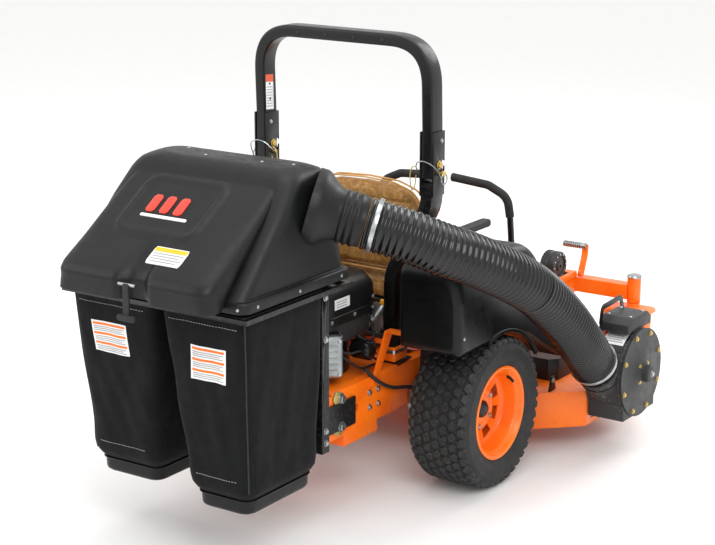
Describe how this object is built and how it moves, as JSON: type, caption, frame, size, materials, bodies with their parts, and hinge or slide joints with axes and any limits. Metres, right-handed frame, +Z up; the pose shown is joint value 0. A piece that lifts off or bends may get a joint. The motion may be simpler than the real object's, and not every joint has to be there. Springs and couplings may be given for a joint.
{
  "type": "zero turn mower",
  "caption": "Ride-on zero-turn mower with a folding roll bar, padded seat, lap bars, a rear hood over grass bags and a side blower feeding it through a corrugated hose.",
  "frame": {"origin": "middle of the bottom of the bounding box, on the ground", "axes": "+X the machine's right side, +Y forward towards the casters, +Z up; the longest extent runs along Y"},
  "size_m": [1.5472, 2.692, 1.6258],
  "materials": {
    "orange_paint": "gloss powder coat",
    "black_paint": "satin powder coat",
    "grey_paint": "satin powder coat",
    "black_moulding": "textured",
    "dark_trim": "satin",
    "hose_rubber": "glossy corrugated",
    "soft_rubber": "matt",
    "tyre_rubber": "matt",
    "bag_fabric": "coated woven",
    "seat_vinyl": "mottled vinyl",
    "cast_metal": "as cast",
    "plated_steel": "yellow zinc",
    "plain_steel": "worn steel"
  },
  "bodies": {
    "chassis": {"main_frame": "orange_paint", "floor_pan": "orange_paint", "fender_left": "black_moulding", "fender_right": "black_moulding", "hydro_left": "cast_metal", "hydro_right": "cast_metal", "rops_post_left": "black_paint", "rops_post_right": "black_paint", "engine_block": "cast_metal", "engine_shroud": "dark_trim", "air_cleaner": "dark_trim", "muffler": "plain_steel", "oil_filter": "black_paint", "seat_base": "black_paint", "catcher_frame": "black_paint", "bag_left": "bag_fabric", "bag_right": "bag_fabric", "tray_left": "black_moulding", "tray_right": "black_moulding", "collector_hose": "hose_rubber"},
    "rear_wheel_left": {"rear_tyre_left": "tyre_rubber", "rear_rim_left": "orange_paint"},
    "rear_wheel_right": {"rear_tyre_right": "tyre_rubber", "rear_rim_right": "orange_paint"},
    "caster_swivel_left": {"caster_fork_left": "orange_paint"},
    "caster_swivel_right": {"caster_fork_right": "orange_paint"},
    "caster_roll_left": {"caster_wheel_left": "tyre_rubber"},
    "caster_roll_right": {"caster_wheel_right": "tyre_rubber"},
    "rops": {"rops_hoop": "black_paint"},
    "pin_left": {"lock_pin_left": "plated_steel"},
    "pin_right": {"lock_pin_right": "plated_steel"},
    "seat": {"seat_cushion": "seat_vinyl", "seat_back": "seat_vinyl"},
    "arm_left": {"armrest_left": "soft_rubber"},
    "arm_right": {"armrest_right": "soft_rubber"},
    "drive_left": {"lever_base_left": "orange_paint"},
    "drive_right": {"lever_base_right": "orange_paint"},
    "grip_left": {"lap_bar_left": "soft_rubber"},
    "grip_right": {"lap_bar_right": "soft_rubber"},
    "hood": {"hood_front_shell": "black_moulding", "hood_rear_cover": "black_moulding"},
    "latch": {"hood_latch": "soft_rubber"},
    "deck": {"deck_shell": "orange_paint", "belt_cover_left": "dark_trim", "belt_cover_right": "dark_trim", "deck_belt": "soft_rubber", "blower_housing": "grey_paint", "blower_plate": "grey_paint", "blower_drive_cover": "grey_paint"},
    "cutter_left": {"blade_left": "plain_steel"},
    "cutter_centre": {"blade_centre": "plain_steel"},
    "cutter_right": {"blade_right": "plain_steel"},
    "roller_left": {"deck_roller_left": "dark_trim"},
    "roller_right": {"deck_roller_right": "dark_trim"},
    "fan": {"impeller": "plain_steel"},
    "crank": {"engine_pulley": "plain_steel"},
    "pedal": {"deck_pedal": "plated_steel"},
    "dial": {"height_dial": "dark_trim"},
    "brake": {"parking_brake_lever": "black_paint"},
    "tank_cap": {"fuel_cap": "dark_trim"}
  },
  "joints": [
    {"name": "rear_wheel_left_spin", "type": "hinge", "parent": "chassis", "child": "rear_wheel_left", "pos_m": [-0.5795, -0.012, 0.279], "axis": [1, 0, 0], "continuous": true},
    {"name": "caster_left_swivel", "type": "hinge", "parent": "chassis", "child": "caster_swivel_left", "pos_m": [-0.594, 1.241, 0.43], "axis": [0, 0, 1], "continuous": true},
    {"name": "caster_left_spin", "type": "hinge", "parent": "caster_swivel_left", "child": "caster_roll_left", "pos_m": [-0.594, 1.181, 0.165], "axis": [1, 0, 0], "continuous": true},
    {"name": "lock_pin_left_pull", "type": "slide", "parent": "rops", "child": "pin_left", "axis": [-1, 0, 0], "range_m": [0, 0.08]},
    {"name": "armrest_left_lift", "type": "hinge", "parent": "seat", "child": "arm_left", "pos_m": [-0.366, 0.033, 0.846], "axis": [1, 0, 0], "range_deg": [0, 60]},
    {"name": "lever_left_drive", "type": "hinge", "parent": "chassis", "child": "drive_left", "pos_m": [-0.394, 0.568, 0.5], "axis": [1, 0, 0], "range_deg": [-22, 10]},
    {"name": "lap_bar_left_swing", "type": "hinge", "parent": "drive_left", "child": "grip_left", "pos_m": [-0.394, 0.553, 0.739], "axis": [0, 1, 0], "range_deg": [-25, 0]},
    {"name": "deck_roller_left_spin", "type": "hinge", "parent": "deck", "child": "roller_left", "pos_m": [-0.339, 0.991, 0.075], "axis": [1, 0, 0], "continuous": true},
    {"name": "rear_wheel_right_spin", "type": "hinge", "parent": "chassis", "child": "rear_wheel_right", "pos_m": [0.3715, -0.012, 0.279], "axis": [1, 0, 0], "continuous": true},
    {"name": "caster_right_swivel", "type": "hinge", "parent": "chassis", "child": "caster_swivel_right", "pos_m": [0.386, 1.241, 0.43], "axis": [0, 0, 1], "continuous": true},
    {"name": "caster_right_spin", "type": "hinge", "parent": "caster_swivel_right", "child": "caster_roll_right", "pos_m": [0.386, 1.181, 0.165], "axis": [1, 0, 0], "continuous": true},
    {"name": "lock_pin_right_pull", "type": "slide", "parent": "rops", "child": "pin_right", "axis": [1, 0, 0], "range_m": [0, 0.08]},
    {"name": "armrest_right_lift", "type": "hinge", "parent": "seat", "child": "arm_right", "pos_m": [0.158, 0.033, 0.846], "axis": [1, 0, 0], "range_deg": [0, 60]},
    {"name": "lever_right_drive", "type": "hinge", "parent": "chassis", "child": "drive_right", "pos_m": [0.186, 0.568, 0.5], "axis": [1, 0, 0], "range_deg": [-22, 10]},
    {"name": "lap_bar_right_swing", "type": "hinge", "parent": "drive_right", "child": "grip_right", "pos_m": [0.186, 0.553, 0.739], "axis": [0, 1, 0], "range_deg": [0, 25]},
    {"name": "deck_roller_right_spin", "type": "hinge", "parent": "deck", "child": "roller_right", "pos_m": [0.131, 0.991, 0.075], "axis": [1, 0, 0], "continuous": true},
    {"name": "rops_fold", "type": "hinge", "parent": "chassis", "child": "rops", "pos_m": [-0.104, -0.129, 1.18], "axis": [1, 0, 0], "range_deg": [0, 100]},
    {"name": "seat_slide", "type": "slide", "parent": "chassis", "child": "seat", "axis": [0, 1, 0], "range_m": [-0.03, 0.05]},
    {"name": "hood_lift", "type": "hinge", "parent": "chassis", "child": "hood", "pos_m": [-0.104, -0.642, 0.9], "axis": [1, 0, 0], "range_deg": [-50, 0]},
    {"name": "latch_swing", "type": "hinge", "parent": "hood", "child": "latch", "pos_m": [-0.104, -1.337, 0.962], "axis": [1, 0, 0], "range_deg": [-80, 0]},
    {"name": "deck_lift", "type": "slide", "parent": "chassis", "child": "deck", "axis": [0, 0, 1], "range_m": [-0.04, 0.06], "deforming": ["collector_hose"]},
    {"name": "deck_pedal_push", "type": "hinge", "parent": "chassis", "child": "pedal", "pos_m": [0.146, 1.223, 0.476], "axis": [1, 0, 0], "range_deg": [-21, 14]},
    {"name": "blade_centre_spin", "type": "hinge", "parent": "deck", "child": "cutter_centre", "pos_m": [-0.104, 0.713, 0.2], "axis": [0, 0, 1], "continuous": true},
    {"name": "blade_left_spin", "type": "hinge", "parent": "deck", "child": "cutter_left", "pos_m": [-0.529, 0.608, 0.2], "axis": [0, 0, 1], "continuous": true},
    {"name": "blade_right_spin", "type": "hinge", "parent": "deck", "child": "cutter_right", "pos_m": [0.321, 0.608, 0.2], "axis": [0, 0, 1], "continuous": true},
    {"name": "impeller_spin", "type": "hinge", "parent": "deck", "child": "fan", "pos_m": [0.636, 0.628, 0.305], "axis": [1, 0, 0], "continuous": true},
    {"name": "crank_spin", "type": "hinge", "parent": "chassis", "child": "crank", "pos_m": [-0.104, -0.362, 0.4], "axis": [0, 0, 1], "continuous": true},
    {"name": "height_dial_turn", "type": "hinge", "parent": "chassis", "child": "dial", "pos_m": [0.091, 1.088, 0.53], "axis": [1, 0, 0], "range_deg": [-135, 135]},
    {"name": "parking_brake_pull", "type": "hinge", "parent": "chassis", "child": "brake", "pos_m": [-0.424, 0.418, 0.515], "axis": [1, 0, 0], "range_deg": [-18, 0]},
    {"name": "fuel_cap_turn", "type": "hinge", "parent": "chassis", "child": "tank_cap", "pos_m": [-0.564, -0.182, 0.87], "axis": [0, 0, 1], "continuous": true}
  ],
  "couplings": [
    {"joint": "deck_pedal_push", "follows": "deck_lift", "rad_per_m": -6},
    {"joint": "blade_left_spin", "follows": "blade_centre_spin", "ratio": 1},
    {"joint": "blade_right_spin", "follows": "blade_centre_spin", "ratio": 1},
    {"joint": "crank_spin", "follows": "blade_centre_spin", "ratio": 0.857},
    {"joint": "impeller_spin", "follows": "blade_centre_spin", "ratio": 1}
  ]
}
